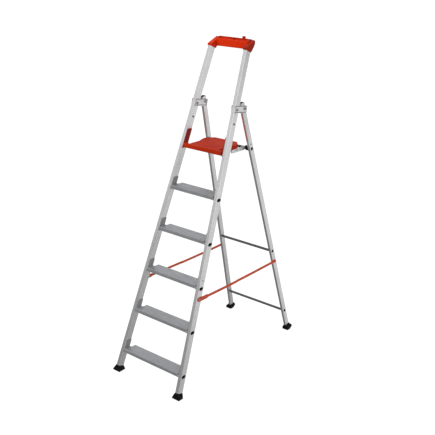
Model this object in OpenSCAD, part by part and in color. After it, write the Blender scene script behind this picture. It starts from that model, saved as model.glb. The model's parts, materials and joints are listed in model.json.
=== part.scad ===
// Folding step ladder: five treads, a folding platform, a bow with a tool tray, and a rear
// frame that swings in behind the front stiles. Units are millimetres, +Z is up, the climber
// stands on the -Y side, and the origin is on the floor under the middle of the ladder.

/* [Front frame] */
// Lean of the front stiles, degrees above the floor
stile_angle = 68.2; // [67:0.1:69.5]
// Half of the width over the stiles, where their axes meet the floor
half_w = 246.9; // [235:0.1:260]
// Taper of each stile, degrees
stile_taper = 3.18; // [3:0.01:3.3]
// Stile depth, front to back
stile_d = 41.2; // [38:0.1:44]
// Stile thickness, across the ladder
stile_t = 22.3; // [20:0.1:23]
// Wall of the stiles and legs
wall = 1.6; // [1.2:0.1:2]
// Distance along the stile from the floor to its top end
stile_top = 1994; // [1990:1:1996]

/* [Treads] */
// Distance along the stile from the floor to the first tread
first_tread = 124.5; // [110:0.5:135]
// Distance along the stile from tread to tread
tread_gap = 250; // [248:1:252]
// Tread depth
tread_d = 79.4; // [76:0.1:80]
// Tread height
tread_h = 22.5; // [18:0.5:25]
// How far the rear corners of a tread are cut in from the stile
tread_notch = 24.5; // [24:0.5:30]

/* [Platform] */
// Height of the platform's top
deck_z = 1298; // [1296:0.5:1300]
// Rear edge of the platform, back from the stile's floor point
deck_back = 706; // [690:1:706]
// Half of the platform's width at its sides
deck_half = 106; // [90:1:108]
// Half of the platform's width at its rear wings
wing_half = 121; // [112:1:121]

/* [Rear frame] */
// Distance along the stile to the rear frame's pivot
pivot_s = 1653; // [1650:1:1656]
// Distance of that pivot behind the stile's axis
pivot_v = 64.3; // [64:0.1:66]
// Where the rear leg's axis meets the floor, back from the stile's floor point
foot_back = 1063.3; // [1055:0.1:1070]
// Taper of each rear leg, degrees
leg_taper = 3.25; // [3.2:0.01:3.3]
// Rear leg depth, front to back
leg_d = 34; // [30:0.5:34]
// Rear leg thickness, across the ladder
leg_t = 16.5; // [14:0.5:16.5]
// How far the leg's outer face lies inside the stile's at the pivot
leg_inset = 4.3; // [4:0.1:4.4]
// Height of the tube that the platform rests on
rest_z = 1265; // [1264:0.5:1266]
// Height of the upper crossbar
upper_z = 582; // [560:1:590]
// Height of the lower crossbar
lower_z = 139; // [130:1:150]

/* [Straps] */
// Distance along the stile to the strap's rivet
strap_s = 563; // [555:1:570]
// Height of the strap's button on the rear leg
strap_z = 512; // [505:1:520]
// Strap width
strap_w = 18; // [14:1:19]
// Length of the strap's front half, up to the fold
strap_front = 333; // [332.5:0.5:333.5]

/* [Hidden] */
$fn = 48;
front_y = -531;               // where the stile axes meet the floor
gap = 0.1;                    // between pieces that lie against each other
tread_count = 5;
tread_plate = 3;              // thickness of the tread's end brackets
plate_t = 3;                  // thickness of the hinge plates
rest_r = 8;                   // radius of the platform's tube
bar_r = 7.5;                  // radius of the crossbars
pin_r = 4;                    // radius of the platform pins
bolt_r = 5;                   // radius of the pivot bolts
pivot_play = 0.08;            // radial play of pins and pivots
bush_r = 7;                   // outer radius of the pivot bushes
pin_y = front_y + 511;        // platform pin
pin_z = 1285;
deck_t = 3.5;                 // thickness of the deck's top
lip_z = 1273;                 // underside of the platform's lip

// Places that follow from the sizes above
function along(s, v) = [front_y + s * cos(stile_angle) + v * sin(stile_angle),
                        s * sin(stile_angle) - v * cos(stile_angle)];
pivot = along(pivot_s, pivot_v);
leg_lean = atan((front_y + foot_back - pivot[0]) / pivot[1]);
leg_len = pivot[1] / cos(leg_lean);
pivot_x = half_w - pivot_s * tan(stile_taper) - leg_inset;
function leg_drop(z) = (pivot[1] - z) / cos(leg_lean);   // distance down the leg to a height
function leg_y(z) = pivot[0] + (pivot[1] - z) * tan(leg_lean);
function leg_x(z) = pivot_x + leg_drop(z) * tan(leg_taper);   // the leg's outer face
function tread_s(i) = first_tread + (i - 1) * tread_gap;

// The strap runs in one plane. Its ends, its direction and that plane's normal:
strap_t = 2;
strap_from = [half_w - strap_s * tan(stile_taper) + 1.2, along(strap_s, 0)[0], along(strap_s, 0)[1]];
strap_to = [leg_x(strap_z) + 0.9 + strap_t + 0.15, leg_y(strap_z), strap_z];
strap_len = norm(strap_to - strap_from);
strap_dir = (strap_to - strap_from) / strap_len;
folded_s = strap_s - 0.99 * strap_front;      // where the fold hangs when the ladder is shut
folded_at = along(folded_s, 44);
folded_x = half_w - folded_s * tan(stile_taper) + 1.2;
folded_dir = [folded_x, folded_at[0], folded_at[1]] - strap_from;
strap_normal = -cross(strap_dir, folded_dir) / norm(cross(strap_dir, folded_dir));
strap_fold = strap_from + strap_dir * strap_front;

// Frames. front_plane: x across, y rearward normal, z up along the stiles.
module front_plane() translate([0, front_y, 0]) rotate([stile_angle - 90, 0, 0]) children();
// in_stile: x outward from the right stile's outer face, y rearward, z along the stile.
module in_stile() front_plane() translate([half_w, 0, 0]) rotate([0, -stile_taper, 0]) children();
// level: turns a place on the stile's face back to level, y horizontal and z upright.
module level(s, v = 0) in_stile() translate([0, v, s]) rotate([90 - stile_angle, 0, 0]) children();
// in_leg: x outward from the right leg's outer face, y rearward, z up along the leg from the pivot.
module in_leg() translate([pivot_x, pivot[0], pivot[1]]) rotate([leg_lean, 0, 0])
    rotate([0, -leg_taper, 0]) children();
module on(side) mirror([side < 0 ? 1 : 0, 0, 0]) children();
module both() for (side = [-1, 1]) on(side) children();
module across(y, z, x0, x1, r) translate([x0, y, z]) rotate([0, 90, 0]) cylinder(r = r, h = x1 - x0);
module out(x0, x1, r) translate([x0, 0, 0]) rotate([0, 90, 0]) cylinder(r = r, h = x1 - x0);
// An oval bar along x, its long axis level: l between the round ends' centres
module oval(x0, x1, r, l) {
    for (y = [-l/2, l/2]) translate([0, y, 0]) out(x0, x1, r);
    translate([x0, -l/2, -r]) cube([x1 - x0, l, 2 * r]);
}
// Extrudes an outline given in (y, z) along x, from x0 to x1
module slab(x0, x1) translate([x0, 0, 0]) rotate([90, 0, 90]) linear_extrude(x1 - x0) children();

function box_outline(w, d, c) = [[-w/2 + c, -d/2], [w/2 - c, -d/2], [w/2, -d/2 + c], [w/2, d/2 - c],
    [w/2 - c, d/2], [-w/2 + c, d/2], [-w/2, d/2 - c], [-w/2, -d/2 + c]];

// A box section with two shallow grooves along each wide face
module box_section(w, d, groove) difference() {
    polygon(box_outline(w, d, 2));
    polygon(box_outline(w - 2 * wall, d - 2 * wall, 1));
    for (x = [-w/2, w/2], y = [-d/5, d/5]) translate([x, y]) square([2 * groove, d / 9], center = true);
}

module stile(side) color("silver") on(side) difference() {
    in_stile() translate([-stile_t/2, 0, 12]) linear_extrude(stile_top - 12)
        box_section(stile_t, stile_d, 0.5);
    over_slope(bow_wall + 0.4);
    // holes for the plugs, rivets and bolts
    for (i = [1:tread_count]) level(tread_s(i)) oval(-3, 1, 5 + gap, plug_l);
    level(tread_s(3) + 46) out(-3, 1, 2.4 + gap);
    at_strap(strap_from) translate([0, 0, -5]) cylinder(r = 3 + gap, h = 6);
    level(plate_bolt_s) out(-stile_t - 1, 1, 4 + gap);
    level(stile_bolt_s) out(-stile_t - 1, 1, 3 + gap);
    in_stile() translate([-stile_t/2, 12, 1978]) rotate([-90, 0, 0]) cylinder(r = 2 + gap, h = 12);
    level(shoe_rivet_s, -2) out(-3, 1, 2.4 + gap);
}

// Treads ---------------------------------------------------------------------------------
groove_pitch = 7;
groove_w = 2.2;
groove_d = 1.2;
tread_wall = 2.4;

// The tread's cross-section: grooved top, front and rear webs with lips, two inner ribs
module tread_section() difference() {
    polygon([[1.5, 0], [0, 1.5], [0, tread_h - 3], [1, tread_h - 1], [3, tread_h],
             [tread_d - 2, tread_h], [tread_d, tread_h - 2], [tread_d, 1], [tread_d - 1, 0]]);
    for (y = [6 : groove_pitch : tread_d - 5]) translate([y, tread_h - groove_d])
        square([groove_w, 2 * groove_d]);
    for (k = [0:2]) let (bay = (tread_d - 4 * tread_wall) / 3)
        translate([tread_wall + k * (bay + tread_wall), -1 + (k == 1 ? 0 : 1 + tread_wall)])
            square([bay, tread_h - tread_wall - groove_d - 0.4 - (k == 1 ? -1 : tread_wall)]);
    for (y = [tread_wall + 7, tread_d - tread_wall - 18]) translate([y, -1]) square([11, 5]);
}

module tread(i) color("darkgray") {
    p = along(tread_s(i), 0);
    front = p[0] - stile_d / 2 / sin(stile_angle);
    base = p[1] - 0.7;
    difference() {
        intersection() {
            translate([-300, front, base]) rotate([90, 0, 90]) linear_extrude(600) tread_section();
            // between the brackets on the two stiles
            front_plane() rotate([90, 0, 0]) translate([0, 0, -120]) linear_extrude(240)
                polygon([for (q = [[-1, -150], [1, -150], [1, 150], [-1, 150]])
                    let (s = tread_s(i) + q[1])
                    [q[0] * (half_w - s * tan(stile_taper) - stile_t - tread_plate - 0.2), s]]);
        }
        // rear corners cut away behind the stiles, with a round inner corner
        both() translate([half_w - tread_s(i) * tan(stile_taper) - stile_t - tread_notch, 0, base - 5])
            linear_extrude(tread_h + 10) difference() {
                translate([0, p[0] + 24]) square([60, 60]);
                difference() {
                    translate([-1, p[0] + 23]) square([13, 13]);
                    translate([12, p[0] + 36]) circle(r = 12);
                }
            }
    }
}

plug_l = 13;                   // how much longer than high the tread's end plugs are
// A tread's end bracket: a strip against the stile's inner face, from the tread's underside up
ear_up = 43;
module tread_bracket(i) level(tread_s(i)) slab(-stile_t - tread_plate - gap, -stile_t - gap)
    polygon([for (q = [[-19.6, 0.3], [19.6, 0.3], [19.6, 58], [15, 65.4], [-15, 65.4], [-19.6, 58]])
        [q[0] / sin(stile_angle) + q[1] / tan(stile_angle), q[1] - 0.7]]);
module tread_brackets(side) color("dimgray") on(side) for (i = [1:tread_count]) tread_bracket(i);

module tread_plugs() color("black") both() for (i = [1:tread_count]) level(tread_s(i)) {
    oval(-2.5, gap, 5, plug_l);
    oval(gap, 0.9, 9, plug_l);
    oval(0.9, 1.5, 8, plug_l);
}

// A pop rivet: a low head on the face at x, with a short shank inward
module rivet(x, r) { out(x + 0.05, x + 0.8, 2 * r); out(x + 0.8, x + 1.4, 1.4 * r); out(x - 2.4, x + 0.05, r); }
module stile_rivets() color("gainsboro") both() level(tread_s(3) + 46) rivet(0, 2.4);

// Shoes ------------------------------------------------------------------------------------
collar = 3.2;                  // how much wider than its tube a shoe's collar is
module sole_grooves(x0, x1, y0, y1) for (y = [y0 + 8 : 9 : y1 - 6])
    translate([x0 - 1, y, -1]) cube([x1 - x0 + 2, 2.5, 3]);
shoe_x = [210, 262];
shoe_y = [front_y - 20, front_y + 27];
shoe_rivet_s = 20;
// Flat sole with its rear outer corner cut off, up to a collar round the tube
module front_shoe(side) color("#202020") on(side) difference() {
    hull() {
        linear_extrude(8) polygon([[shoe_x[0], shoe_y[0]], [shoe_x[1], shoe_y[0]],
            [shoe_x[1], shoe_y[1] - 13], [shoe_x[1] - 12, shoe_y[1]], [shoe_x[0], shoe_y[1]]]);
        in_stile() translate([-stile_t/2, 0, 26]) linear_extrude(4)
            polygon(box_outline(stile_t + collar, stile_d + collar, 3));
    }
    in_stile() translate([-stile_t/2, 0, 11.9]) linear_extrude(60)
        polygon(box_outline(stile_t + 2 * gap, stile_d + 2 * gap, 2));
    sole_grooves(shoe_x[0], shoe_x[1], shoe_y[0], shoe_y[1]);
    level(shoe_rivet_s, -2) { out(-3, 30, 2.4 + gap); out(1, 30, 6); }
}
module front_shoe_rivets() color("gainsboro") both() level(shoe_rivet_s, -2) rivet(1, 2.4);

rear_x = [215, 256];
rear_y = [front_y + 1034, front_y + 1062, front_y + 1082];
// The sole is flat in front and rises behind
module rear_shoe(side) color("#202020") on(side) difference() {
    hull() {
        slab(rear_x[0], rear_x[1]) polygon([[rear_y[0], 0], [rear_y[1], 0], [rear_y[2] - 2, 13],
            [rear_y[2], 18], [rear_y[2] - 2, 24], [rear_y[0], 15]]);
        in_leg() translate([-leg_t/2, 0, 26 - leg_len]) linear_extrude(4)
            polygon(box_outline(leg_t + collar, leg_d + collar, 3));
    }
    in_leg() translate([-leg_t/2, 0, 15.9 - leg_len]) linear_extrude(60)
        polygon(box_outline(leg_t + 2 * gap, leg_d + 2 * gap, 2));
    sole_grooves(rear_x[0], rear_x[1], rear_y[0], rear_y[1]);
}

// Bow --------------------------------------------------------------------------------------
bow_s = 1960;                  // lower edge of the bow's sockets
bow_wall = 2.2;
// Everything above the arms' sloping tops, less a wall below them
module over_slope(under) slab(-200, 200) polygon([for (q = [[690, 1832.6], [712, 1842], [790, 1875.4]])
    bow_pt(q[0], q[1] - under), bow_pt(790, 1960), bow_pt(690, 1960)]);
cross_half = 114;              // where the cross-piece runs into the arms
function bow_pt(y, z) = [front_y + y, z];
// Side outline of an arm: socket edge, sloping top, rear end
arm_outline = [along(bow_s, -22.8), bow_pt(706, 1839), bow_pt(712, 1842), bow_pt(768, 1866),
    bow_pt(782, 1872), bow_pt(788, 1866), bow_pt(787, 1852), bow_pt(775, 1836),
    along(bow_s - 3, 22.8)];
cross_outline = [bow_pt(751, 1823), bow_pt(749, 1826), bow_pt(749, 1863), bow_pt(752, 1867),
    bow_pt(778, 1875), bow_pt(785, 1875), bow_pt(789, 1871), bow_pt(789, 1836), bow_pt(780, 1825)];
module bow() color("orangered") difference() {
    union() {
        // arms, cut to the slope of the stiles
        both() intersection() {
            slab(60, 160) polygon(arm_outline);
            in_stile() translate([-stile_t - bow_wall, -60, 1900]) cube([stile_t + 2 * bow_wall, 140, 160]);
        }
        slab(-cross_half, cross_half) polygon(cross_outline);
        // peg on the rear rim
        translate([52, front_y + 780.5, 1872]) cube([18, 8, 15]);
    }
    both() difference() {
        in_stile() translate([-stile_t/2, 0, 1900]) linear_extrude(stile_top + 0.3 - 1900)
            polygon(box_outline(stile_t + 2 * gap, stile_d + 2 * gap, 2));
        over_slope(bow_wall);
    }
    // tool tray, and the shallow tray beside it
    translate([-6, front_y + 754, 1838]) cube([106, 26, 60]);
    translate([-106, front_y + 754, 1860]) cube([94, 26, 60]);
    both() in_stile() translate([-stile_t/2, 12, 1978]) rotate([-90, 0, 0]) {
        cylinder(r = 2 + gap, h = 40);
        translate([0, 0, 11.4]) cylinder(r = 4.2, h = 40);
    }
}
module bow_screws() color("gainsboro") both() in_stile()
    translate([-stile_t/2, 12, 1978]) rotate([-90, 0, 0]) {
        translate([0, 0, 3]) cylinder(r = 2, h = 10);
        translate([0, 0, 11.5]) cylinder(r = 3.8, h = 2.4);
    }

// Hinge plates -------------------------------------------------------------------------------
plate_bolt_s = 1633;
stile_bolt_s = 1552;
// The plate's outline, seen from the stile's plate bolt: a block with cut corners that reaches
// back to the pivot and dips a little towards it
module plate_outline(inset = 0) rotate([0, 0, -9])
    polygon([for (q = [[-19, -14], [-15, -18], [82, -18], [87, -13], [87, 19], [82, 24], [-15, 24],
        [-19, 20]]) [q[0] - inset * sign(q[0]), q[1] - inset * sign(q[1])]]);
module hinge_plate(side, x0, face) color("lightgray") on(side) difference() {
    level(plate_bolt_s) difference() {
        slab(x0, x0 + plate_t) plate_outline();
        // sunk field inside a raised rim
        slab(face > 0 ? x0 + plate_t - 0.7 : x0 - 1, face > 0 ? x0 + plate_t + 1 : x0 + 0.7)
            plate_outline(3);
        out(-40, 20, 4 + gap);
    }
    across(pivot[0], pivot[1], 0, 300, bolt_r + 0.05);
}

// A bolt through the stile and what lies on it, with a head outside and a nut inside
module through_bolt(r, head, on, sunk) {
    out(-stile_t - on - 1, on + 0.5, r);
    out(on - sunk, on + 2.6, head);
    out(on + 2.6, on + 3.4, head * 0.8);
    out(-stile_t - on - 3, -stile_t - on + sunk, head);
}
module plate_bolts() color("gainsboro") both() level(plate_bolt_s) through_bolt(4, 8, plate_t, 0.6);
module stile_bolts() color("dimgray") both() level(stile_bolt_s) through_bolt(3, 5.5, 0, -gap);
plate_x = half_w - pivot_s * tan(stile_taper);   // the stile's outer face at the pivot
module pivot_bolts() color("gainsboro") both() {
    across(pivot[0], pivot[1], plate_x - stile_t - plate_t - 3, plate_x + plate_t + 3, bolt_r);
    across(pivot[0], pivot[1], plate_x + plate_t + 0.4, plate_x + plate_t + 4, 9);
    across(pivot[0], pivot[1], plate_x - stile_t - plate_t - 4, plate_x - stile_t - plate_t - 0.6, 8);
}

// Rear frame -----------------------------------------------------------------------------------
leg_up = 32;                   // leg's top above the pivot
module rear_leg(side) color("silver") on(side) difference() {
    in_leg() translate([-leg_t/2, 0, 16 - leg_len]) linear_extrude(leg_len - 16 + leg_up)
        box_section(leg_t, leg_d, 0.4);
    across(pivot[0], pivot[1], 0, 300, bush_r + 0.05);
    across(leg_y(rest_z), rest_z, 0, 300, rest_r + 0.05);
    for (z = [upper_z, lower_z]) across(leg_y(z), z, 0, 300, bar_r + 0.05);
    in_leg() translate([0, 0, -leg_drop(rest_z + 28)]) out(-3, 1, 2.4 + gap);
    // rear corner of the top, cut off slanting
    in_leg() translate([-leg_t - 1, leg_d/2, leg_up]) rotate([45, 0, 0])
        translate([0, -7, -7]) cube([leg_t + 2, 14, 14]);
}
// A cap: a plug in the leg's top, under a cover that follows the slanting corner
module leg_caps() color("black") both() in_leg() {
    difference() {
        translate([-leg_t/2, 0, leg_up - 12]) linear_extrude(12.3)
            polygon(box_outline(leg_t - 2 * wall - 2 * gap, leg_d - 2 * wall - 2 * gap, 1));
        translate([-leg_t - 1, leg_d/2, leg_up]) rotate([45, 0, 0])
            translate([0, -6.8, -14]) cube([leg_t + 2, 14, 28]);
    }
    translate([0, 0, leg_up]) slab(-leg_t + 0.3, -0.3) polygon([[0.3 - leg_d/2, 0.1],
        [leg_d/2 - 9.8, 0.1], [leg_d/2 - 0.3, -9.4], [leg_d/2 - 0.3, -6.2], [leg_d/2 - 8.6, 2.1],
        [leg_d/2 - 9.4, 2.5], [1.3 - leg_d/2, 2.5], [0.3 - leg_d/2, 1.7]]);
}

// Flanged bushes: they carry the leg on the pivot bolt and centre it between the plates
module pivot_bushes() color("#303030") both() difference() {
    union() {
        across(pivot[0], pivot[1], pivot_x - 4, pivot_x + 3.6, bush_r);
        across(pivot[0], pivot[1], pivot_x + 0.9, pivot_x + 3.6, 11);
        across(pivot[0], pivot[1], pivot_x - leg_t - 1.2, pivot_x - leg_t + 3, bush_r);
    }
    across(pivot[0], pivot[1], 0, 300, bolt_r + pivot_play);
}

module tube(z, r) difference() {
    across(leg_y(z), z, -leg_x(z) + 1, leg_x(z) - 1, r);
    across(leg_y(z), z, -leg_x(z), leg_x(z), r - 1.3);
}
module upper_crossbar() color("#5a5a5a") tube(upper_z, bar_r);
module lower_crossbar() color("#5a5a5a") tube(lower_z, bar_r);
module rest_tube() color("gray") tube(rest_z, rest_r);
module rest_tube_collars() color("black") both() difference() {
    across(leg_y(rest_z), rest_z, leg_x(rest_z) - leg_t - 22, leg_x(rest_z) - leg_t - 1.4, 14);
    across(leg_y(rest_z), rest_z, 0, 300, rest_r + gap);
}
module end_plug(z, r) {
    across(leg_y(z), z, leg_x(z) - 9, leg_x(z) + 0.6, r - 1.3 - gap);
    across(leg_y(z), z, leg_x(z) + 0.6, leg_x(z) + 1.4, r + 2);
}
module crossbar_plugs() color("black") both() for (z = [upper_z, lower_z]) end_plug(z, bar_r);
module rest_tube_plugs() color("black") both() end_plug(rest_z, rest_r);
module leg_rivets() color("gainsboro") both() in_leg() translate([0, 0, -leg_drop(rest_z + 28)])
    rivet(0, 2.4);

// Platform ---------------------------------------------------------------------------------------
cheek_x = 131;                 // inner face of the lip's end blocks
lip_half = 139.5;              // clear of the brackets on the stiles
function deck_pt(x, y) = [x, front_y + y];
// Half outline of the deck in plan, front to back
deck_side = [deck_pt(deck_half, 497), deck_pt(deck_half - 2, 588), deck_pt(wing_half, 640),
    deck_pt(wing_half, 662), deck_pt(wing_half - 37, deck_back - 2), deck_pt(wing_half - 42, deck_back)];
function plan(in, back) = concat([for (p = deck_side) [p[0] - in, p[1] - back]],
    [for (i = [len(deck_side) - 1 : -1 : 0]) [in - deck_side[i][0], deck_side[i][1] - back]]);
module platform_deck() color("orangered") difference() {
    union() {
        translate([0, 0, deck_z - deck_t]) linear_extrude(deck_t) polygon(plan(0, 0));
        // skirt, deeper where the arms leave it
        intersection() {
            translate([0, 0, lip_z - 12]) linear_extrude(deck_z - lip_z + 11) difference() {
                polygon(plan(0, 0));
                polygon(plan(3, 3));
            }
            slab(-200, 200) polygon([for (q = [[495, 1273], [590, 1263], [620, 1263], [707, 1278],
                [707, 1298], [495, 1298]]) bow_pt(q[0], q[1])]);
        }
        // front lip and its end blocks
        slab(-lip_half, lip_half) polygon([for (q = [[489, 1275], [491, 1273], [502, 1273],
            [502, deck_z], [493, deck_z], [489, deck_z - 4]]) bow_pt(q[0], q[1])]);
        both() slab(cheek_x, lip_half) polygon([for (q = [[495, 1273], [524, 1273], [527, 1276],
            [527, 1290], [519, deck_z], [495, deck_z]]) bow_pt(q[0], q[1])]);
        // ribs under the deck
        for (x = [-75 : 37.5 : 75]) translate([x - 1, front_y + 500, deck_z - 16])
            cube([2, deck_back - 503, 14]);
        for (y = [545, 600, 655]) translate([-96, front_y + y, deck_z - 12]) cube([192, 2, 10]);
    }
    both() across(pin_y, pin_z, cheek_x - 1, 160, pin_r + pivot_play);
    both() for (y = arm_rivet_y) across(front_y + y, arm_rivet_z, wing_half - 5, 160, 2.4 + gap);
}

// An arm: riveted to the skirt's outer side, hooked over the tube at its rear end
arm_x = [wing_half + 0.3, wing_half + 3.8];
arm_rivet_y = [642, 653];
arm_rivet_z = 1271.5;
module platform_arm(side) color("gainsboro") on(side) difference() {
    slab(arm_x[0], arm_x[1]) polygon([for (q = [[601, 1262], [605, 1258], [700, 1256],
        [718, 1257], [742, 1252], [749, 1254], [751, 1260], [751, 1274], [744, 1281],
        [716, 1279], [605, 1277], [601, 1273]]) bow_pt(q[0], q[1])]);
    across(leg_y(rest_z), rest_z, 0, 300, rest_r + 0.4);
    // the way out of the hook, forward and down
    translate([0, leg_y(rest_z), rest_z]) rotate([-33, 0, 0])
        translate([0, -rest_r - 1, -60]) cube([300, 2 * rest_r + 2, 60]);
    for (y = arm_rivet_y) across(front_y + y, arm_rivet_z, 0, 300, 2.4 + gap);
}
module arm_rivets() color("gainsboro") both() for (y = arm_rivet_y) {
    across(front_y + y, arm_rivet_z, wing_half - 4, wing_half - 3.05, 4);
    across(front_y + y, arm_rivet_z, wing_half - 3.1, arm_x[1] + 0.1, 2.4);
    across(front_y + y, arm_rivet_z, arm_x[1] + 0.05, arm_x[1] + 0.9, 4);
}

// Platform bracket on the stile's inner face: a strip up the stile with the pin's bore
bracket_t = 4;
module platform_bracket(side) color("#b43018") on(side) difference() {
    level(1375) slab(-stile_t - bracket_t - gap, -stile_t - gap)
        polygon([for (q = [[-19.5, -5], [17, -5], [17, 92], [13, 98], [-16, 98], [-19.5, 94]])
            [q[0] / sin(stile_angle) + q[1] / tan(stile_angle), q[1]]]);
    across(pin_y, pin_z, 0, 300, pin_r + 0.05);
}
module platform_pins() color("gainsboro") both() across(pin_y, pin_z, cheek_x + 1,
    half_w - 1384 * tan(stile_taper) - stile_t - 0.5, pin_r);

// Straps -------------------------------------------------------------------------------------------
// Places children at a point of the right strap: x along it, z outward
module at_strap(p) multmatrix([for (k = [0:2]) [strap_dir[k], cross(strap_normal, strap_dir)[k],
    strap_normal[k], p[k]]]) children();
// One half of a strap, from point p over length l, between two heights over the strap's plane
module strap_half(p, l, z0) at_strap(p) translate([0, 0, z0]) linear_extrude(strap_t) union() {
    translate([0, -strap_w/2]) square([l, strap_w]);
    for (x = [0, l]) translate([x, 0]) circle(d = strap_w);
}
module strap_front_half(side) color("tomato") on(side) difference() {
    strap_half(strap_from, strap_front, 0.15);
    at_strap(strap_from) translate([0, 0, -5]) cylinder(r = 3.2, h = 20);
}
module strap_rear_half(side) color("tomato") on(side) difference() {
    strap_half(strap_fold, strap_len - strap_front, -0.15 - strap_t);
    at_strap(strap_to) translate([0, 0, -10]) cylinder(r = 3.2, h = 20);
}
module strap_rivets() color("gainsboro") both() at_strap(strap_from) {
    translate([0, 0, -3.7]) cylinder(r = 3, h = strap_t + 5);
    translate([0, 0, -1.05]) cylinder(r = 6, h = 0.95);
    translate([0, 0, strap_t + 0.35]) cylinder(r = 6, h = 1.4);
}
module strap_button(side) color("orangered") on(side) at_strap(strap_to) {
    translate([0, 0, -0.3 - strap_t]) cylinder(r = 3, h = strap_t + 0.8);
    cylinder(r = 9, h = 2.5);
    translate([0, 0, 2.5]) cylinder(r = 7, h = 1);
}

stile(-1);  // stile_left
stile(1);  // stile_right
tread(1);  // tread_1
tread(2);  // tread_2
tread(3);  // tread_3
tread(4);  // tread_4
tread(5);  // tread_5
tread_brackets(-1);  // tread_brackets_left
tread_brackets(1);  // tread_brackets_right
tread_plugs();
stile_rivets();
front_shoe(-1);  // front_shoe_left
front_shoe(1);  // front_shoe_right
front_shoe_rivets();
bow();
bow_screws();
hinge_plate(-1, gap, 1);  // hinge_plate_outer_left
hinge_plate(1, gap, 1);  // hinge_plate_outer_right
hinge_plate(-1, -stile_t - plate_t - gap, -1);  // hinge_plate_inner_left
hinge_plate(1, -stile_t - plate_t - gap, -1);  // hinge_plate_inner_right
plate_bolts();
stile_bolts();
pivot_bolts();
platform_bracket(-1);  // platform_bracket_left
platform_bracket(1);  // platform_bracket_right
platform_pins();
strap_rivets();
rear_leg(-1);  // rear_leg_left
rear_leg(1);  // rear_leg_right
leg_caps();
pivot_bushes();
upper_crossbar();
lower_crossbar();
rest_tube();
rest_tube_collars();
crossbar_plugs();
rest_tube_plugs();
leg_rivets();
rear_shoe(-1);  // rear_shoe_left
rear_shoe(1);  // rear_shoe_right
platform_deck();
platform_arm(-1);  // platform_arm_left
platform_arm(1);  // platform_arm_right
arm_rivets();
strap_front_half(-1);  // strap_front_left
strap_front_half(1);  // strap_front_right
strap_rear_half(-1);  // strap_rear_left
strap_rear_half(1);  // strap_rear_right
strap_button(-1);  // strap_button_left
strap_button(1);  // strap_button_right
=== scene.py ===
"""Looks of the folding step ladder: aluminium stiles, legs and treads, orange mouldings, rubber
shoes and webbing straps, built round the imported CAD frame. Lengths are metres."""
import json
import math

import bmesh
import bpy
from mathutils import Matrix, Vector


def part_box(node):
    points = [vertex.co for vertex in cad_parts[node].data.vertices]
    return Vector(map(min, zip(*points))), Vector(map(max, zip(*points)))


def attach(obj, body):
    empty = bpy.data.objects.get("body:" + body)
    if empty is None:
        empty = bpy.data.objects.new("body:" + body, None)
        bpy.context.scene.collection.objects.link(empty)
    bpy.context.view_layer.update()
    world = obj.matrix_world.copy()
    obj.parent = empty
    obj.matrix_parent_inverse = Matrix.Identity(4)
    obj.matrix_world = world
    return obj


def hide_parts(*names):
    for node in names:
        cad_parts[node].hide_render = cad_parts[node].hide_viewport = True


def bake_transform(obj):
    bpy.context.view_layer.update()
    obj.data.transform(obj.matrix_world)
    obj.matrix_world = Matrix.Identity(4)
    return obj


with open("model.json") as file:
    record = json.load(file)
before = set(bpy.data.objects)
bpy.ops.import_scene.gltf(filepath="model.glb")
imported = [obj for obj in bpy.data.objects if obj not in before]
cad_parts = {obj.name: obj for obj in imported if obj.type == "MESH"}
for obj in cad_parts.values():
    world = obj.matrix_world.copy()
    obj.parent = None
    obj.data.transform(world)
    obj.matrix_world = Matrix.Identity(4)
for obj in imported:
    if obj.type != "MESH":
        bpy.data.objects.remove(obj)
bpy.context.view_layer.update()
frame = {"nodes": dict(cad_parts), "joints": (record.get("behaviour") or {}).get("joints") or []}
MM = 0.001

# ---------------------------------------------------------------- places taken from the frame
JOINTS = {j["name"]: j for j in frame["joints"]}
STILE_LEAN = math.radians(68.2)      # stiles above the floor
STILE_TAPER = math.radians(3.18)     # stiles towards each other
LEG_TAPER = math.radians(3.25)
PIVOT = Vector(JOINTS["rear_fold"]["pos_m"])


def side_of(point):
    return 1 if point[0] > 0 else -1


def leg_lean():
    """Angle of the rear legs off the vertical, from the pivot down to the lower crossbar."""
    lo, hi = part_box("lower_crossbar")
    bar = (Vector(lo) + Vector(hi)) / 2
    return math.atan2(bar.y - PIVOT.y, PIVOT.z - bar.z)


def stile_axes(side):
    """(outward, rearward, along) unit vectors of a stile."""
    turn = Matrix.Rotation(STILE_LEAN - math.pi / 2, 3, "X") @ Matrix.Rotation(-side * STILE_TAPER, 3, "Y")
    return turn @ Vector((side, 0, 0)), turn @ Vector((0, 1, 0)), turn @ Vector((0, 0, 1))


def leg_axes(side):
    """(outward, rearward, along) unit vectors of a rear leg."""
    turn = Matrix.Rotation(leg_lean(), 3, "X") @ Matrix.Rotation(-side * LEG_TAPER, 3, "Y")
    return turn @ Vector((side, 0, 0)), turn @ Vector((0, 1, 0)), turn @ Vector((0, 0, 1))


def islands(node):
    """The separate solids of a CAD node, each as a list of points."""
    bm = bmesh.new()
    bm.from_mesh(frame["nodes"][node].data)
    bmesh.ops.remove_doubles(bm, verts=bm.verts, dist=1e-6)
    todo, found = set(bm.verts), []
    while todo:
        stack, part = [todo.pop()], []
        while stack:
            v = stack.pop()
            part.append(v.co.copy())
            for e in v.link_edges:
                w = e.other_vert(v)
                if w in todo:
                    todo.remove(w)
                    stack.append(w)
        found.append(part)
    bm.free()
    return found


def centre_of(points):
    lo = Vector([min(p[k] for p in points) for k in range(3)])
    hi = Vector([max(p[k] for p in points) for k in range(3)])
    return (lo + hi) / 2


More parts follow.
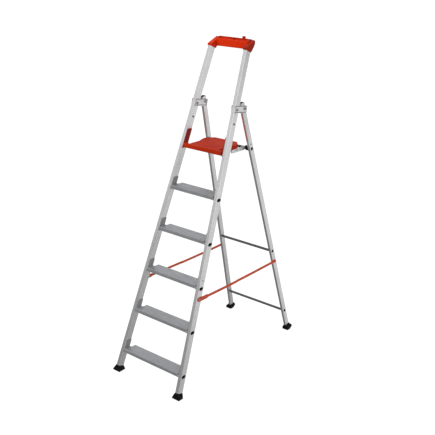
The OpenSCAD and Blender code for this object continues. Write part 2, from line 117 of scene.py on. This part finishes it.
# ---------------------------------------------------------------- materials
class Nodes:
    """A few lines of help for building one node material."""

    def __init__(self, name, color, rough, metallic=0.0, **sockets):
        self.mat = bpy.data.materials.new(name)
        self.mat.use_nodes = True
        self.tree = self.mat.node_tree
        self.shader = self.tree.nodes["Principled BSDF"]
        self.set("Base Color", (*color, 1.0))
        self.set("Roughness", rough)
        self.set("Metallic", metallic)
        for key, value in sockets.items():
            self.set(key.replace("_", " "), value)
        self.coords = self.tree.nodes.new("ShaderNodeTexCoord").outputs["Object"]

    def set(self, socket, value):
        self.shader.inputs[socket].default_value = value

    def link(self, a, b):
        self.tree.links.new(a, b)

    def node(self, kind, **inputs):
        n = self.tree.nodes.new("ShaderNode" + kind)
        for key, value in inputs.items():
            socket = n.inputs[key.replace("_", " ")]
            if isinstance(value, bpy.types.NodeSocket):
                self.link(value, socket)
            else:
                socket.default_value = value
        return n

    def stretched(self, scale, turn=(0, 0, 0)):
        """Object coordinates, turned and then stretched."""
        m = self.node("Mapping", Vector=self.coords, Rotation=turn)
        return self.node("Mapping", Vector=m.outputs[0], Scale=scale).outputs[0]

    def noise(self, scale, detail=3.0, rough=0.5, vector=None):
        return self.node("TexNoise", Vector=vector or self.coords, Scale=scale, Detail=detail,
                         Roughness=rough).outputs["Fac"]

    def ramp(self, value, stops):
        """Maps a value to grey or colour stops: [(place, colour or grey), ...]."""
        r = self.node("ValToRGB", Fac=value)
        for e, (place, c) in zip(self._elements(r, len(stops)), stops):
            e.position = place
            e.color = (c, c, c, 1) if isinstance(c, (int, float)) else (*c, 1)
        return r.outputs[0]

    def _elements(self, r, count):
        while len(r.color_ramp.elements) < count:
            r.color_ramp.elements.new(1.0)
        return r.color_ramp.elements

    def mix(self, fac, a, b, kind="MIX"):
        m = self.tree.nodes.new("ShaderNodeMix")
        m.data_type = "RGBA"
        m.blend_type = kind
        for socket, value in ((m.inputs[0], fac), (m.inputs[6], a), (m.inputs[7], b)):
            if isinstance(value, bpy.types.NodeSocket):
                self.link(value, socket)
            elif isinstance(value, (int, float)):
                socket.default_value = value
            else:
                socket.default_value = (*value, 1)
        return m.outputs[2]

    def math(self, kind, a, b=0.0):
        m = self.tree.nodes.new("ShaderNodeMath")
        m.operation = kind
        for socket, value in zip(m.inputs, (a, b)):
            if isinstance(value, bpy.types.NodeSocket):
                self.link(value, socket)
            else:
                socket.default_value = value
        return m.outputs[0]

    def color(self, value):
        self.link(value, self.shader.inputs["Base Color"])

    def rough(self, value):
        self.link(value, self.shader.inputs["Roughness"])

    def bump(self, height, distance, strength=0.6):
        b = self.node("Bump", Height=height, Distance=distance, Strength=strength)
        self.link(b.outputs[0], self.shader.inputs["Normal"])


def drawn_aluminium(name, turn, light=0.84, rough=0.25):
    """Extruded aluminium: fine die lines along the profile, cloudy oxide, a few scuffs.
    turn carries the profile's direction to Z."""
    n = Nodes(name, (light, light, light * 1.01), rough, metallic=0.85)
    lines = n.noise(1.0, 2.0, 0.6, n.stretched((900, 900, 6), turn))
    cloud = n.noise(9.0, 4.0, 0.55)
    scuffs = n.ramp(n.noise(1.0, 5.0, 0.7, n.stretched((60, 60, 14), turn)), [(0.60, 0.0), (0.72, 1.0)])
    base = n.mix(n.ramp(cloud, [(0.3, 0.0), (0.7, 1.0)]), (light * 0.93,) * 3,
                 (light * 1.04, light * 1.04, light * 1.05))
    base = n.mix(n.math("MULTIPLY", lines, 0.22), base, (light * 0.72,) * 3)
    n.color(n.mix(n.math("MULTIPLY", scuffs, 0.10), base, (0.93, 0.93, 0.92)))
    n.rough(n.math("ADD", n.math("MULTIPLY", lines, 0.16),
                   n.math("ADD", rough - 0.08, n.math("MULTIPLY", scuffs, 0.10))))
    n.bump(lines, 0.00005, 0.35)
    return n.mat


def tread_metal():
    """Mill-finish treads: duller, worn brighter on the ridges, with dust in the grooves."""
    n = Nodes("tread_metal", (0.55, 0.56, 0.57), 0.45, metallic=0.75)
    lines = n.noise(1.0, 2.0, 0.6, n.stretched((5, 1100, 1100)))
    patches = n.ramp(n.noise(14.0, 5.0, 0.6), [(0.35, 0.0), (0.68, 1.0)])
    base = n.mix(patches, (0.48, 0.49, 0.51), (0.57, 0.58, 0.60))
    n.color(n.mix(n.math("MULTIPLY", lines, 0.25), base, (0.36, 0.365, 0.38)))
    n.rough(n.math("ADD", n.math("MULTIPLY", lines, 0.2),
                   n.math("ADD", 0.33, n.math("MULTIPLY", patches, 0.10))))
    n.bump(lines, 0.00006, 0.4)
    return n.mat


def moulded(name, color, dark, rough=0.45, grain=900.0, depth=0.00008, scuff=0.12, painted_shade_places=()):
    """Moulded plastic: fine spark grain, slow colour drift, rubbed places. The last argument lists
    places painted darker, as painted shade: (axis number, from, to in metres, how much)."""
    n = Nodes(name, color, rough, Specular_IOR_Level=0.10)
    drift = n.ramp(n.noise(6.0, 4.0, 0.6), [(0.3, 0.0), (0.7, 1.0)])
    rub = n.ramp(n.noise(38.0, 6.0, 0.72), [(0.58, 0.0), (0.70, 1.0)])
    pale = tuple(min(1.0, c * 1.15 + 0.05) for c in color)
    base = n.mix(drift, dark, color)
    # Painted shade: each listed place is darkened towards a third of the moulding's colour.
    for axis, start, end, amount in painted_shade_places:
        place = n.node("SeparateXYZ", Vector=n.coords).outputs[axis]
        reach = n.node("MapRange", Value=place, From_Min=start, From_Max=end, To_Max=amount).outputs[0]
        base = n.mix(reach, base, tuple(c * 0.3 for c in color))
    n.color(n.mix(n.math("MULTIPLY", rub, scuff), base, pale))
    n.rough(n.math("ADD", rough - 0.06, n.math("MULTIPLY", n.noise(grain * 0.3, 2.0), 0.16)))
    n.bump(n.noise(grain, 2.0, 0.5), depth, 0.5)
    return n.mat


def zinc(name="zinc", light=0.72, rough=0.38):
    """Zinc-plated pressed steel: bluish, blotchy, slightly dull."""
    n = Nodes(name, (light, light, light), rough, metallic=0.8)
    blotch = n.ramp(n.noise(55.0, 5.0, 0.65), [(0.35, 0.0), (0.65, 1.0)])
    n.color(n.mix(blotch, (light * 0.9, light * 0.92, light * 0.94), (light * 1.08,) * 3))
    n.rough(n.math("ADD", rough - 0.05, n.math("MULTIPLY", blotch, 0.14)))
    n.bump(n.noise(420.0, 3.0), 0.00005, 0.4)
    return n.mat


def hinge_zinc_painted_rim_shade(light=0.90, dip=math.radians(-9), groove=(0.0058, 0.0022)):
    """The hinge plates: pale plating, with a dark band of painted shade and some grime along the foot of the
    raised rim.
    """
    lo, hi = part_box("hinge_plate_outer_left")
    n = Nodes("hinge_zinc_painted_rim_shade", (light, light, light), 0.42, metallic=0.55)
    place = n.node("SeparateXYZ", Vector=n.coords)
    back = n.math("SUBTRACT", place.outputs[1], (lo[1] + hi[1]) / 2)
    up = n.math("SUBTRACT", place.outputs[2], (lo[2] + hi[2]) / 2)

    def beyond(a, b, half):
        """How far outside a half width a place lies, along the direction (a, b)."""
        along = n.math("ADD", n.math("MULTIPLY", back, a), n.math("MULTIPLY", up, b))
        return n.math("SUBTRACT", n.math("ABSOLUTE", along), half)

    # A dark band along the foot of the raised rim: painted shade, with some grime.
    edge = n.math("MAXIMUM", beyond(math.cos(dip), math.sin(dip), 53 * MM),
                  beyond(-math.sin(dip), math.cos(dip), 21 * MM))
    inner = n.node("MapRange", Value=edge, From_Min=-groove[0] - 0.0006, From_Max=-groove[0]).outputs[0]
    outer = n.node("MapRange", Value=edge, From_Min=-groove[1], From_Max=-groove[1] + 0.0006).outputs[0]
    rim_painted_shade_and_grime = n.math("MULTIPLY", n.math("SUBTRACT", inner, outer), 0.9)
    blotch = n.ramp(n.noise(55.0, 5.0, 0.65), [(0.35, 0.0), (0.65, 1.0)])
    base = n.mix(blotch, (light * 0.92, light * 0.93, light * 0.94), (light * 1.06,) * 3)
    n.color(n.mix(rim_painted_shade_and_grime, base, (0.16, 0.16, 0.16)))
    n.rough(n.math("ADD", 0.36,
                   n.math("ADD", n.math("MULTIPLY", blotch, 0.12), n.math("MULTIPLY", rim_painted_shade_and_grime, 0.3))))
    n.bump(n.noise(420.0, 3.0), 0.00005, 0.4)
    return n.mat


def rubber():
    """Shoe rubber: near black, chalky where it rubs."""
    n = Nodes("rubber", (0.008, 0.008, 0.008), 0.6, Specular_IOR_Level=0.12)
    dust = n.ramp(n.noise(60.0, 6.0, 0.7), [(0.52, 0.0), (0.75, 1.0)])
    n.color(n.mix(n.math("MULTIPLY", dust, 0.35), (0.004, 0.004, 0.004), (0.018, 0.018, 0.017)))
    n.rough(n.math("ADD", 0.52, n.math("MULTIPLY", dust, 0.25)))
    n.bump(n.noise(700.0, 3.0), 0.0001, 0.5)
    return n.mat


def paint(name, color):
    """Satin paint on a tube: faint orange peel and small chips."""
    n = Nodes(name, color, 0.6, Specular_IOR_Level=0.08)
    chips = n.ramp(n.noise(150.0, 4.0, 0.6), [(0.70, 0.0), (0.74, 1.0)])
    n.color(n.mix(n.math("MULTIPLY", chips, 0.3), color, (0.25, 0.25, 0.25)))
    n.rough(n.math("ADD", 0.48, n.math("MULTIPLY", n.noise(80.0), 0.14)))
    n.bump(n.noise(260.0, 2.0), 0.00008, 0.3)
    return n.mat


def weave(name, color, dark):
    """Narrow woven webbing: warp ribs along the strap, crossed by the weft, from its own UV map
    in metres (u along, v across)."""
    n = Nodes(name, color, 0.75, Specular_IOR_Level=0.2, Sheen_Weight=0.1)
    uv = n.node("UVMap")
    uv.uv_map = "strap"
    split = n.node("SeparateXYZ", Vector=uv.outputs[0])
    along, across = split.outputs[0], split.outputs[1]

    def wave(value, per_metre, shift=0.0):
        turn = n.math("ADD", n.math("MULTIPLY", value, per_metre * 2 * math.pi), shift)
        return n.math("ADD", n.math("MULTIPLY", n.math("SINE", turn), 0.5), 0.5)

    warp = wave(across, 640)
    shift = n.math("MULTIPLY", n.math("ROUND", n.math("MULTIPLY", across, 640)), math.pi)
    weft = wave(along, 420, shift)
    height = n.math("MULTIPLY", n.math("ADD", n.math("MULTIPLY", warp, 0.6), 0.4),
                    n.math("ADD", n.math("MULTIPLY", weft, 0.5), 0.5))
    fuzz = n.noise(300.0, 5.0, 0.7)
    worn = n.mix(n.ramp(n.noise(25.0, 3.0), [(0.35, 0.0), (0.7, 1.0)]), color, tuple(c * 0.86 for c in color))
    n.color(n.mix(n.math("MULTIPLY", n.math("SUBTRACT", 1.0, height), 0.75), worn, dark))
    n.rough(n.math("ADD", 0.62, n.math("MULTIPLY", fuzz, 0.25)))
    n.bump(n.math("ADD", height, n.math("MULTIPLY", fuzz, 0.2)), 0.0003, 0.7)
    return n.mat


def floor_paint():
    n = Nodes("floor_paint", (0.1, 0.1, 0.1), 0.9, Specular_IOR_Level=0.0)
    n.set("Emission Color", (1.0, 1.0, 1.0, 1.0))
    n.set("Emission Strength", 1.0)
    n.bump(n.noise(30.0, 4.0), 0.0002, 0.1)
    return n.mat


ORANGE, ORANGE_DARK = (0.84, 0.042, 0.004), (0.74, 0.030, 0.003)
LEAN_TURN = math.pi / 2 - STILE_LEAN
MATERIALS = {
    "stile_left": drawn_aluminium("stile_metal_left", (LEAN_TURN, -STILE_TAPER, 0)),
    "stile_right": drawn_aluminium("stile_metal_right", (LEAN_TURN, STILE_TAPER, 0)),
    "leg_left": drawn_aluminium("leg_metal_left", (-leg_lean(), -LEG_TAPER, 0)),
    "leg_right": drawn_aluminium("leg_metal_right", (-leg_lean(), LEG_TAPER, 0)),
    "tread": tread_metal(),
    "orange": moulded("orange_moulding", ORANGE, ORANGE_DARK),
    # The bow's right arm (x over 0.104 m) and its top (z over 1.864 m) are painted darker, as painted shade.
    "bow": moulded("bow_moulding_painted_shade", ORANGE, ORANGE_DARK, painted_shade_places=((0, 0.104, 0.122, 0.7), (2, 1.864, 1.872, 0.65))),
    "deck": moulded("deck_moulding", (0.54, 0.032, 0.006), (0.46, 0.024, 0.004), 0.55, 600.0, 0.00015, 0.08),
    # The platform brackets are orange plastic painted dark red-brown, as painted shade.
    "ear": moulded("ear_moulding_painted_shade", (0.34, 0.040, 0.034), (0.26, 0.030, 0.026), 0.5),
    "bracket": moulded("bracket_moulding", (0.36, 0.365, 0.37), (0.28, 0.285, 0.29), 0.5),
    "black": moulded("black_moulding", (0.006, 0.006, 0.006), (0.004, 0.004, 0.004), 0.5, scuff=0.03),
    "rubber": rubber(),
    "zinc": zinc("arm_zinc", 0.90, 0.5),
    "plate": hinge_zinc_painted_rim_shade(),
    "steel": zinc("bolt_steel", 0.36, 0.36),
    "dark_steel": zinc("blackened_steel", 0.05, 0.45),
    "tube": paint("tube_paint", (0.11, 0.11, 0.115)),
    "webbing": weave("webbing", (0.80, 0.125, 0.050), (0.50, 0.060, 0.025)),
    "thread": moulded("stitch_thread", (0.80, 0.42, 0.30), (0.7, 0.3, 0.2), 0.7),
    "floor": floor_paint(),
}


# ---------------------------------------------------------------- mesh help
def dress(node, material, bevel=0.5, segments=2):
    """Gives a CAD node its material, and a fine rounded edge."""
    obj = frame["nodes"][node]
    obj.data.materials.clear()
    obj.data.materials.append(MATERIALS[material])
    if bevel:
        m = obj.modifiers.new("edge", "BEVEL")
        m.width = bevel * MM
        m.segments = segments
        m.limit_method = "ANGLE"
        m.angle_limit = math.radians(32)
        m.harden_normals = False
    smooth(obj)


def smooth(obj, angle=38):
    """Smooth shading that keeps edges sharper than the angle."""
    mesh = obj.data
    mesh.shade_smooth()
    bm = bmesh.new()
    bm.from_mesh(mesh)
    limit = math.radians(angle)
    for e in bm.edges:
        if len(e.link_faces) == 2:
            e.smooth = e.calc_face_angle(0.0) < limit
    marks = [e.smooth for e in bm.edges]
    bm.free()
    for e, keep in zip(mesh.edges, marks):
        e.use_edge_sharp = not keep


def new_piece(name, bm, material, body, replaces=()):
    """Turns a bmesh into a piece that rides on a body."""
    bmesh.ops.recalc_face_normals(bm, faces=bm.faces)
    mesh = bpy.data.meshes.new(name)
    bm.to_mesh(mesh)
    bm.free()
    obj = bpy.data.objects.new(name, mesh)
    bpy.context.scene.collection.objects.link(obj)
    mesh.materials.append(MATERIALS[material])
    smooth(obj)
    if body:
        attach(obj, body)
    if replaces:
        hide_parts(*replaces)
    return obj


def facing(origin, axis, along=Vector((0, 1, 0))):
    """A matrix that stands at origin and carries +Z to axis, and +X as near to along as it can."""
    z = axis.normalized()
    x = (along - z * along.dot(z)).normalized()
    return Matrix.Translation(origin) @ Matrix((x, z.cross(x), z)).transposed().to_4x4()


def lathe(bm, profile, place, segments=28, longer=0.0):
    """Adds a turned solid: profile is [(radius, height), ...] in mm, from one end to the other.
    With longer, in mm, it is oval along x, and its profile starts and ends with a flat face."""
    rings = []
    for r, h in profile:
        if r == 0:
            rings.append([bm.verts.new(place @ Vector((0, 0, h * MM)))])
        else:
            turns = [2 * math.pi * (k + 0.5) / segments for k in range(segments)]
            rings.append([bm.verts.new(place @ Vector((
                (r * math.cos(t) + math.copysign(longer / 2, math.cos(t))) * MM, r * MM * math.sin(t), h * MM)))
                for t in turns])
    if longer:
        bm.faces.new(rings[0])
        bm.faces.new(rings[-1])
    for a, b in zip(rings, rings[1:]):
        for k in range(segments):
            j = (k + 1) % segments
            corners = [a[k % len(a)], a[j % len(a)], b[j % len(b)], b[k % len(b)]]
            bm.faces.new(list(dict.fromkeys(corners)))


# ---------------------------------------------------------------- fasteners and plugs
RIVET = [(0, 0.2), (0.9, 0.1), (1.0, -0.2), (1.2, 0.15), (2.6, 0.0), (3.9, -0.45), (4.8, -1.15),
         (4.9, -1.35), (2.4, -1.4), (2.4, -3.6), (0, -3.6)]
OVAL_PLUG = [(4.4, -0.55), (5.9, -0.5), (6.5, -0.05), (7.6, -0.02), (8.4, -0.35), (8.9, -0.9), (9.0, -1.4),
             (5.0, -1.45), (4.9, -3.8)]
PLUG = [(0, 0.0), (4.6, -0.05), (6.2, -0.45), (6.9, -1.0), (7.0, -1.4), (4.9, -1.45), (4.8, -3.8), (0, -3.8)]


def tip(points, axis):
    """The point on a solid's own axis at its outermost reach along that axis."""
    c = centre_of(points)
    return c + axis * (max(p.dot(axis) for p in points) - c.dot(axis))


def turned(name, node, material, body, axes, profile, scale=1.0, longer=0.0):
    """Replaces a node of small turned solids, each by the profile, measured down from its tip."""
    bm = bmesh.new()
    for points in islands(node):
        axis = axes(side_of(centre_of(points)))
        lathe(bm, [(r * scale, h * scale) for r, h in profile], facing(tip(points, axis), axis), 32, longer)
    return new_piece(name, bm, material, body, [node])


def outward_stile(side):
    return stile_axes(side)[0]


def outward_leg(side):
    return leg_axes(side)[0]


def sideways(side):
    return Vector((side, 0, 0))


def through_bolts(name, node, axes, head, shank, material="steel"):
    """Bolts with a domed head outside, a socket in it, and a hexagon nut inside."""
    bm = bmesh.new()
    for points in islands(node):
        axis = axes(side_of(centre_of(points)))
        outer, inner = tip(points, axis), tip(points, -axis)
        length = (outer - inner).length / MM
        place = facing(outer, axis)
        lathe(bm, [(0, -1.6), (head * 0.34, -1.6), (head * 0.38, -0.1), (head * 0.62, -0.25),
                   (head * 0.88, -1.1), (head, -2.3), (head, -3.0), (shank, -3.05),
                   (shank, 1.0 - length), (0, 1.0 - length)], place, 30)
        nut = head * 0.98
        lathe(bm, [(0, 0), (nut * 0.86, 0), (nut, -0.6), (nut, -2.2), (shank * 0.9, -2.3), (0, -2.3)],
              facing(inner, -axis), 6)
    return new_piece(name, bm, material, "front_frame", [node])


def make_fasteners():
    turned("stile_rivet_heads", "stile_rivets", "steel", "front_frame", outward_stile, RIVET)
    turned("shoe_rivet_heads", "front_shoe_rivets", "steel", "front_frame", outward_stile, RIVET)
    turned("leg_rivet_heads", "leg_rivets", "steel", "rear_frame", outward_leg, RIVET)
    turned("tread_plug_caps", "tread_plugs", "black", "front_frame", outward_stile, OVAL_PLUG, longer=13.0)
    turned("crossbar_plug_caps", "crossbar_plugs", "black", "rear_frame", sideways, PLUG, 1.35)
    turned("rest_tube_plug_caps", "rest_tube_plugs", "black", "rear_frame", sideways, PLUG, 1.42)
    through_bolts("plate_bolt_set", "plate_bolts", outward_stile, 8.0, 4.0)
    through_bolts("stile_bolt_set", "stile_bolts", outward_stile, 5.5, 3.0, "dark_steel")
    through_bolts("pivot_bolt_set", "pivot_bolts", sideways, 9.0, 5.0)


# ---------------------------------------------------------------- straps
STRAP_W, STRAP_T = 0.0165, 0.0015
END_TAB, END_W = 0.075, 0.0245      # the doubled, wider end at the stile
REAR_TAB = 0.055


class Strap:
    """One side's strap: where it starts, folds and ends, and its own directions."""

    def __init__(self, name):
        self.name = name
        self.start = Vector(JOINTS["strap_front_%s_fold" % name]["pos_m"])
        self.fold = Vector(JOINTS["strap_rear_%s_fold" % name]["pos_m"])
        self.side = side_of(self.start)
        self.out = (Vector(JOINTS["strap_front_%s_fold" % name]["axis"]) * self.side).normalized()
        self.along = (self.fold - self.start).normalized()
        self.up = self.out.cross(self.along) * self.side
        lo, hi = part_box("strap_button_" + name)
        self.length = ((Vector(lo) + Vector(hi)) / 2 - self.start).dot(self.along)
        self.fold_at = (self.fold - self.start).length

    def point(self, s, across=0.0, lift=0.0):
        """A point s along the strap, across it and lifted off its middle layer. The strap sags a little."""
        sag = 0.004 * math.sin(math.pi * min(max(s / self.length, 0), 1))
        return self.start + self.along * s + self.up * (across - sag) + self.out * (self.layer(s) + lift)

    def layer(self, s):
        """Height of the webbing's middle: outside the fold plane in front, inside it behind."""
        t = min(max((s - self.fold_at + 0.014) / 0.028, 0), 1)
        return 0.00115 - 0.0023 * t * t * (3 - 2 * t)


def ribbon(bm, strap, s0, s1, width, thick, lift=0.0, step=0.004, ends=1.0):
    """Adds a band of webbing with rounded edges, from s0 to s1, with its UV map in metres.
    width is a function of s; ends says how round the two ends are."""
    uv = bm.loops.layers.uv.get("strap") or bm.loops.layers.uv.new("strap")
    count = max(2, round((s1 - s0) / step))
    outline = []
    for k in range(11):
        outline.append((k / 5 - 1, 1))
    for k in range(10, -1, -1):
        outline.append((k / 5 - 1, -1))
    rings, places = [], []
    for i in range(count + 1):
        s = s0 + (s1 - s0) * i / count
        half = width(s) / 2
        edge = min(s - s0, s1 - s) / half
        half *= 1.0 if edge >= ends else math.sqrt(max(0.12, 1 - (1 - edge / ends) ** 2))
        ring, place = [], []
        for a, b in outline:
            thin = thick / 2 * (1.0 if abs(a) < 0.95 else 0.55)
            ring.append(bm.verts.new(strap.point(s, a * half, b * thin + lift)))
            place.append((s, a * half))
        rings.append(ring)
        places.append(place)
    size = len(outline)
    for i in range(count):
        for k in range(size):
            j = (k + 1) % size
            face = bm.faces.new((rings[i][k], rings[i][j], rings[i + 1][j], rings[i + 1][k]))
            for loop, place in zip(face.loops, (places[i][k], places[i][j],
                                                places[i + 1][j], places[i + 1][k])):
                loop[uv].uv = place
    for ring, place in ((rings[0], places[0]), (rings[-1], places[-1])):
        face = bm.faces.new(ring)
        for loop, p in zip(face.loops, place):
            loop[uv].uv = p


def stitch_rows(bm, strap, rows, width, lift, count=7):
    """Short thread stitches across the webbing, one row at each distance."""
    for s in rows:
        for k in range(count):
            across = (k / (count - 1) - 0.5) * width
            middle = strap.point(s, across, lift)
            turn = facing(middle, strap.out, strap.up)
            bmesh.ops.create_uvsphere(bm, u_segments=8, v_segments=5, radius=1.0,
                                      matrix=turn @ Matrix.Diagonal((0.0011, 0.00038, 0.00028, 1)))


def strap_width(s):
    """A wide end tab at the stile that narrows to the strap's own width."""
    t = min(max((s - END_TAB + 0.012) / 0.016, 0), 1)
    return END_W + (STRAP_W - END_W) * t * t * (3 - 2 * t)


def make_strap(name):
    strap = Strap(name)
    front, rear = "strap_front_" + name, "strap_rear_" + name
    end = strap.length + 0.012
    bm = bmesh.new()
    ribbon(bm, strap, -0.0125, end, strap_width, STRAP_T)
    piece = new_piece("strap_webbing_" + name, bm, "webbing", None, [front, rear])
    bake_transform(piece)
    over = STRAP_T + 0.00005
    bm = bmesh.new()
    ribbon(bm, strap, -0.0115, END_TAB - 0.012, lambda s: END_W - 0.001, STRAP_T * 0.8, over * 0.9)
    new_piece("strap_end_front_" + name, bm, "webbing", front)
    bm = bmesh.new()
    ribbon(bm, strap, strap.length - REAR_TAB, end - 0.001, lambda s: STRAP_W - 0.0006,
           STRAP_T * 0.8, over * 0.9)
    new_piece("strap_end_rear_" + name, bm, "webbing", rear)
    top = over * 0.9 + STRAP_T * 0.4
    bm = bmesh.new()
    stitch_rows(bm, strap, [0.016, 0.022, 0.028, END_TAB - 0.023, END_TAB - 0.016], END_W * 0.72, top)
    new_piece("strap_stitches_front_" + name, bm, "thread", front)
    bm = bmesh.new()
    stitch_rows(bm, strap, [strap.length - REAR_TAB + k for k in (0.004, 0.010, 0.016)], STRAP_W * 0.72, top)
    new_piece("strap_stitches_rear_" + name, bm, "thread", rear)


# ---------------------------------------------------------------- platform grip
def inside(outline, x, y):
    """True if (x, y) lies inside a closed outline."""
    hit = False
    for (ax, ay), (bx, by) in zip(outline, outline[1:] + outline[:1]):
        if (ay > y) != (by > y) and x < (bx - ax) * (y - ay) / (by - ay) + ax:
            hit = not hit
    return hit


def make_deck_grip():
    """Rows of low studs on the platform's top, over the whole of its outline."""
    lo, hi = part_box("platform_deck")
    half, top = 0.106, hi[2]
    front, back = lo[1] + 0.012, hi[1] - 0.008
    outline = [(half - 0.008, front), (half - 0.010, front + 0.087), (half + 0.006, front + 0.139),
               (half + 0.005, front + 0.156), (0.074, back)]
    outline = outline + [(-x, y) for x, y in reversed(outline)]
    bm = bmesh.new()
    pitch = 0.0105
    rows = int((back - front) / pitch)
    for j in range(rows + 1):
        y = front + 0.005 + j * pitch
        for k in range(-12, 13):
            x = (k + 0.5 * (j % 2)) * pitch
            if inside(outline, x, y):
                lathe(bm, [(2.9, -0.4), (2.8, 0.1), (2.3, 0.6), (1.2, 0.8), (0, 0.82)],
                      Matrix.Translation((x, y, top)), 10)
    studs = new_piece("platform_studs", bm, "deck", "platform")
    return studs


# ---------------------------------------------------------------- CAD nodes that keep their shape
def dress_cad():
    for side in ("left", "right"):
        dress("stile_" + side, "stile_" + side, 0.8)
        dress("rear_leg_" + side, "leg_" + side, 0.8)
        dress("tread_brackets_" + side, "bracket", 0.8)
        dress("platform_bracket_" + side, "ear", 1.0)
        dress("platform_arm_" + side, "zinc", 0.5)
        for face in ("outer", "inner"):
            dress("hinge_plate_%s_%s" % (face, side), "plate", 0.35)
    for i in range(1, 6):
        dress("tread_%d" % i, "tread", 0.35)
    for node, material in (("upper_crossbar", "tube"), ("lower_crossbar", "tube"), ("rest_tube", "tube"),
                           ("rest_tube_collars", "black"), ("leg_caps", "black"), ("pivot_bushes", "black"),
                           ("platform_pins", "steel"), ("arm_rivets", "steel"), ("bow_screws", "steel"),
                           ("strap_rivets", "steel")):
        dress(node, material, 0.3)
    for node in ("front_shoe_left", "front_shoe_right", "rear_shoe_left", "rear_shoe_right"):
        dress(node, "rubber", 1.5, 3)
    dress("bow", "bow", 1.5, 3)
    dress("platform_deck", "deck", 0.8)
    for side in ("left", "right"):
        dress("strap_button_" + side, "orange", 0.6)


# ---------------------------------------------------------------- stage
# Brightness of the surroundings, from straight down (0) to straight up (1)
SKY = [(0.12, 0.14), (0.24, 0.22), (0.31, 0.52), (0.42, 0.56), (0.49, 0.10), (0.53, 0.14), (0.62, 0.78),
       (0.70, 0.98), (0.92, 0.36)]
BRIGHT_SIDE, FRONT_LEVEL, BACK_LEVEL = (0.62, 0.73, 0.0), 0.72, 1.55   # a window behind and to the right


def make_floor():
    """A wide pale floor. It isn't seen by reflections or bounced light, so the ladder's metal
    shows the studio's soft grey sides and not one white sheet."""
    bm = bmesh.new()
    bmesh.ops.create_grid(bm, x_segments=8, y_segments=8, size=40)
    floor = new_piece("floor", bm, "floor", None)
    floor.visible_glossy = False
    floor.visible_diffuse = False
    bm = bmesh.new()
    bmesh.ops.create_cone(bm, cap_ends=False, segments=64, radius1=30, radius2=30, depth=80)
    wall = new_piece("backdrop", bm, "floor", None)
    wall.visible_glossy = wall.visible_diffuse = wall.visible_shadow = False


def make_sky():
    """Soft surrounding light that fades from overhead to below."""
    world = bpy.data.worlds.new("studio")
    bpy.context.scene.world = world
    world.use_nodes = True
    tree = world.node_tree
    coords = tree.nodes.new("ShaderNodeTexCoord")
    split = tree.nodes.new("ShaderNodeSeparateXYZ")
    ramp = tree.nodes.new("ShaderNodeValToRGB")
    height = tree.nodes.new("ShaderNodeMapRange")
    height.inputs["From Min"].default_value = -1.0
    tree.links.new(coords.outputs["Generated"], split.inputs[0])
    tree.links.new(split.outputs[2], height.inputs["Value"])
    tree.links.new(height.outputs[0], ramp.inputs[0])
    stops = ramp.color_ramp.elements
    while len(stops) < len(SKY):
        stops.new(0.5)
    for stop, (place, level) in zip(stops, SKY):
        stop.position = place
        stop.color = (level, level, level, 1)
    toward = tree.nodes.new("ShaderNodeVectorMath")
    toward.operation = "DOT_PRODUCT"
    toward.inputs[1].default_value = BRIGHT_SIDE
    tree.links.new(coords.outputs["Generated"], toward.inputs[0])
    level = tree.nodes.new("ShaderNodeMapRange")
    for key, value in (("From Min", -1.0), ("To Min", FRONT_LEVEL), ("To Max", BACK_LEVEL)):
        level.inputs[key].default_value = value
    tree.links.new(toward.outputs["Value"], level.inputs["Value"])
    tree.links.new(ramp.outputs[0], tree.nodes["Background"].inputs[0])
    tree.links.new(level.outputs[0], tree.nodes["Background"].inputs[1])


def add_lamp(name, kind, place, target, energy, size):
    lamp = bpy.data.lights.new(name, kind)
    lamp.energy = energy
    if kind == "SUN":
        lamp.angle = size
    else:
        lamp.size = size
    obj = bpy.data.objects.new(name, lamp)
    obj.location = place
    obj.rotation_mode = "QUATERNION"
    obj.rotation_quaternion = (Vector(target) - Vector(place)).to_track_quat("-Z", "Y")
    obj.visible_glossy = False
    bpy.context.scene.collection.objects.link(obj)


def make_lamps():
    """The lamps light the mouldings; the metal shows the surroundings alone."""
    add_lamp("overhead", "SUN", (0, -2, 6), (0, 0, 0), 0.6, math.radians(70))
    add_lamp("front_left", "AREA", (-1.7, -2.9, 2.5), (0, 0, 1.6), 45, 1.8)


def make_stage():
    make_floor()
    make_sky()
    make_lamps()


def make_camera():
    data = bpy.data.cameras.new("camera")
    data.sensor_width = 36
    data.lens = 66.23
    data.shift_x, data.shift_y = 0.0108, -0.0085
    cam = bpy.data.objects.new("camera", data)
    cam.location = (2.836, -3.335, 2.511)
    yaw, pitch = math.radians(39.92), math.radians(-20.35)
    cam.rotation_euler = (math.pi / 2 + pitch, 0, yaw)
    bpy.context.scene.collection.objects.link(cam)
    bpy.context.scene.camera = cam


bpy.context.scene.view_settings.view_transform = "Standard"
make_camera()
make_stage()
dress_cad()
make_fasteners()
make_deck_grip()
for strap_name in ("left", "right"):
    make_strap(strap_name)
